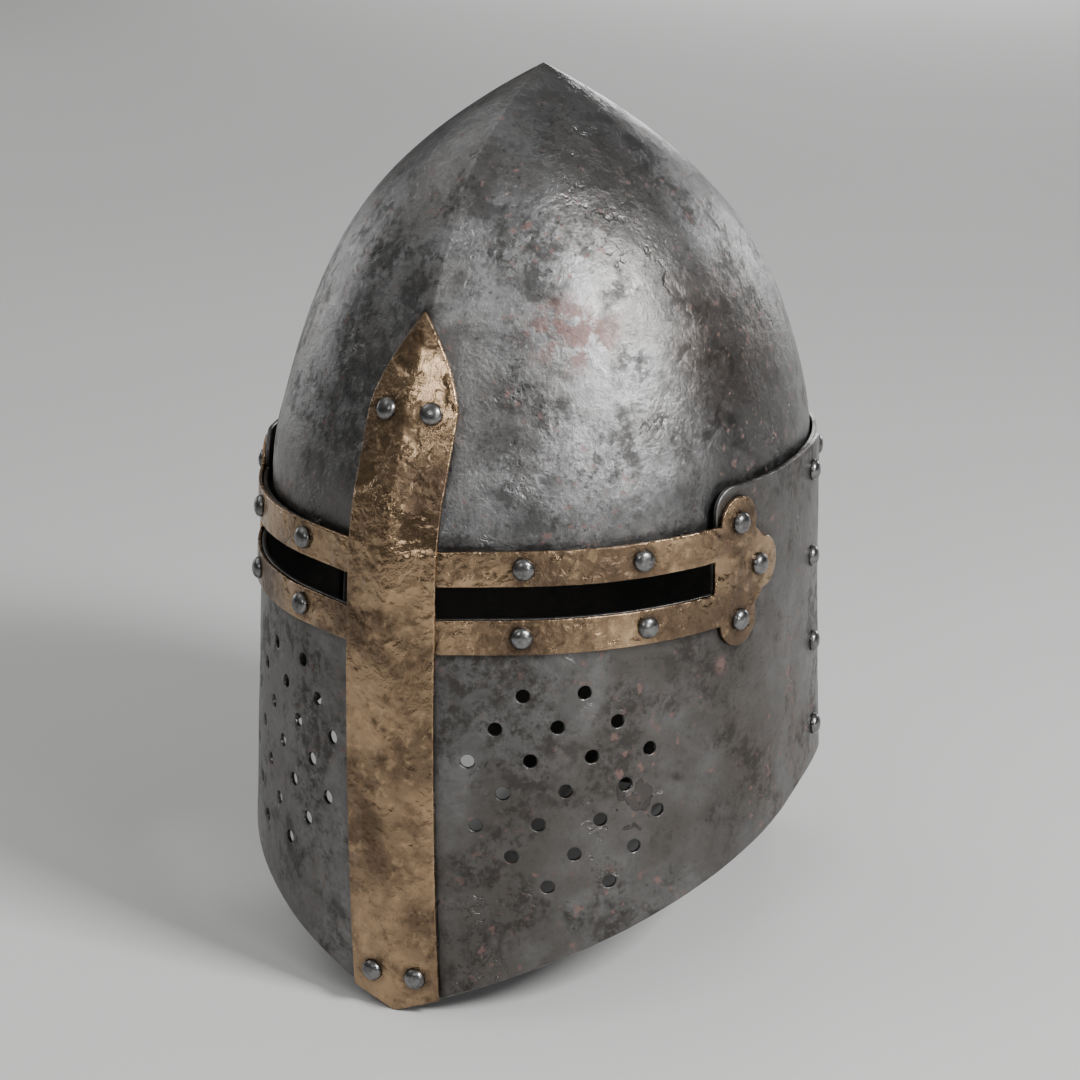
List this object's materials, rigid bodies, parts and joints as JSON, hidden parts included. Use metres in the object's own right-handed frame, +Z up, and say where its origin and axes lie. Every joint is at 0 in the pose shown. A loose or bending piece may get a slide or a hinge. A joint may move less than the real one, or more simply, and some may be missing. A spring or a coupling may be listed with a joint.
{
  "type": "sugarloaf helmet",
  "caption": "Closed sugarloaf helmet: pointed steel crown, riveted face and back plates, brass bar and brass frames round the eye slots, breath holes.",
  "frame": {"origin": "on the surface that the helmet stands on, below the middle of its box", "axes": "+Z up, the face looks along -Y, +X is the wearer's left"},
  "size_m": [0.224, 0.2592, 0.345],
  "materials": {
    "crown_steel": "worn, stained, lightly pitted",
    "plate_steel": "worn, stained, lightly pitted",
    "brass": "hammered, tarnished",
    "rivet_steel": "satin"
  },
  "bodies": {
    "root": {"crown": "crown_steel", "face_plate": "plate_steel", "back_plate": "plate_steel", "bar": "brass", "left_frame": "brass", "right_frame": "brass", "bar_rivet_1": "rivet_steel", "bar_rivet_2": "rivet_steel", "bar_rivet_3": "rivet_steel", "bar_rivet_4": "rivet_steel", "left_rivet_1": "rivet_steel", "left_rivet_2": "rivet_steel", "left_rivet_3": "rivet_steel", "left_rivet_4": "rivet_steel", "left_rivet_5": "rivet_steel", "left_rivet_6": "rivet_steel", "left_rivet_7": "rivet_steel", "left_seam_1": "rivet_steel", "left_seam_2": "rivet_steel", "left_seam_3": "rivet_steel", "left_seam_4": "rivet_steel", "left_seam_5": "rivet_steel", "right_rivet_1": "rivet_steel", "right_rivet_2": "rivet_steel", "right_rivet_3": "rivet_steel", "right_rivet_4": "rivet_steel", "right_rivet_5": "rivet_steel", "right_rivet_6": "rivet_steel", "right_rivet_7": "rivet_steel", "right_seam_1": "rivet_steel", "right_seam_2": "rivet_steel", "right_seam_3": "rivet_steel", "right_seam_4": "rivet_steel", "right_seam_5": "rivet_steel"}
  },
  "joints": []
}
